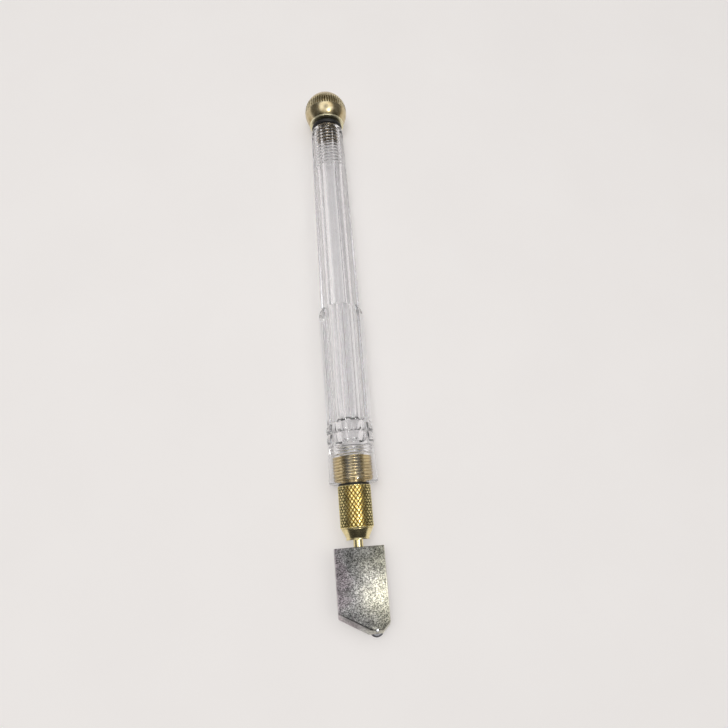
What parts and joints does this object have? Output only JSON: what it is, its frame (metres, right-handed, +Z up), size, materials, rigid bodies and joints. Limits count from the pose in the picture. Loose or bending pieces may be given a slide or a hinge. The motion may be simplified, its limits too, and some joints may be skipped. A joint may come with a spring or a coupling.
{
  "type": "glass cutter",
  "caption": "Pencil-grip glass cutter: a clear oil barrel with a ball end cap, and a brass holder that carries a swivelling head with a small cutting wheel.",
  "frame": {"origin": "on the table, under the middle of the tool's length and width", "axes": "+Y along the tool towards the ball cap, -Y towards the cutting wheel, +X across the head towards the wheel's side, +Z up"},
  "size_m": [0.0142, 0.175, 0.0141],
  "materials": {
    "clear_acrylic": "polished, water clear",
    "brass": "turned and knurled",
    "black_rubber": "satin",
    "steel": "bright",
    "plated_zinc": "nickel plated, mottled and brushed",
    "carbide": "ground",
    "cotton": "twisted yarn"
  },
  "bodies": {
    "barrel": {"barrel": "clear_acrylic"},
    "cap_o_ring": {"cap_o_ring": "black_rubber"},
    "end_cap": {"end_cap": "brass"},
    "holder_gasket": {"holder_gasket": "black_rubber"},
    "head_holder": {"head_holder": "brass", "retaining_screw": "steel", "valve_seal": "black_rubber", "valve_spring": "steel", "spring_retainer": "brass"},
    "valve_plunger": {"valve_plunger": "brass"},
    "cutter_head": {"cutter_head": "plated_zinc", "head_shank": "brass", "oil_wick": "cotton", "wheel_axle": "steel"},
    "cutting_wheel": {"cutting_wheel": "carbide"}
  },
  "joints": [
    {"name": "cap_travel", "type": "slide", "parent": "barrel", "child": "cap_o_ring", "axis": [0, 1, 0], "range_m": [0, 0.00601]},
    {"name": "cap_turn", "type": "hinge", "parent": "cap_o_ring", "child": "end_cap", "pos_m": [0, 0.0741, 0.00707], "axis": [0, 1, 0], "range_deg": [0, 1800]},
    {"name": "holder_travel", "type": "slide", "parent": "barrel", "child": "holder_gasket", "axis": [0, -1, 0], "range_m": [0, 0.00766]},
    {"name": "holder_turn", "type": "hinge", "parent": "holder_gasket", "child": "head_holder", "pos_m": [0, -0.0468, 0.00707], "axis": [0, -1, 0], "range_deg": [0, 3240]},
    {"name": "head_press", "type": "slide", "parent": "head_holder", "child": "valve_plunger", "axis": [0, 1, 0], "range_m": [0, 0.001], "stiffness_N_per_m": 500, "springref_m": -0.002, "deforming": ["valve_spring"]},
    {"name": "head_swivel", "type": "hinge", "parent": "valve_plunger", "child": "cutter_head", "pos_m": [0, -0.0615, 0.00707], "axis": [0, 1, 0], "range_deg": [-10, 10]},
    {"name": "wheel_spin", "type": "hinge", "parent": "cutter_head", "child": "cutting_wheel", "pos_m": [0.0032, -0.0855, 0.00707], "axis": [0, 0, 1], "continuous": true}
  ],
  "couplings": [
    {"joint": "cap_travel", "follows": "cap_turn", "m_per_rad": 0.00019099},
    {"joint": "holder_travel", "follows": "holder_turn", "m_per_rad": 0.00013528}
  ]
}
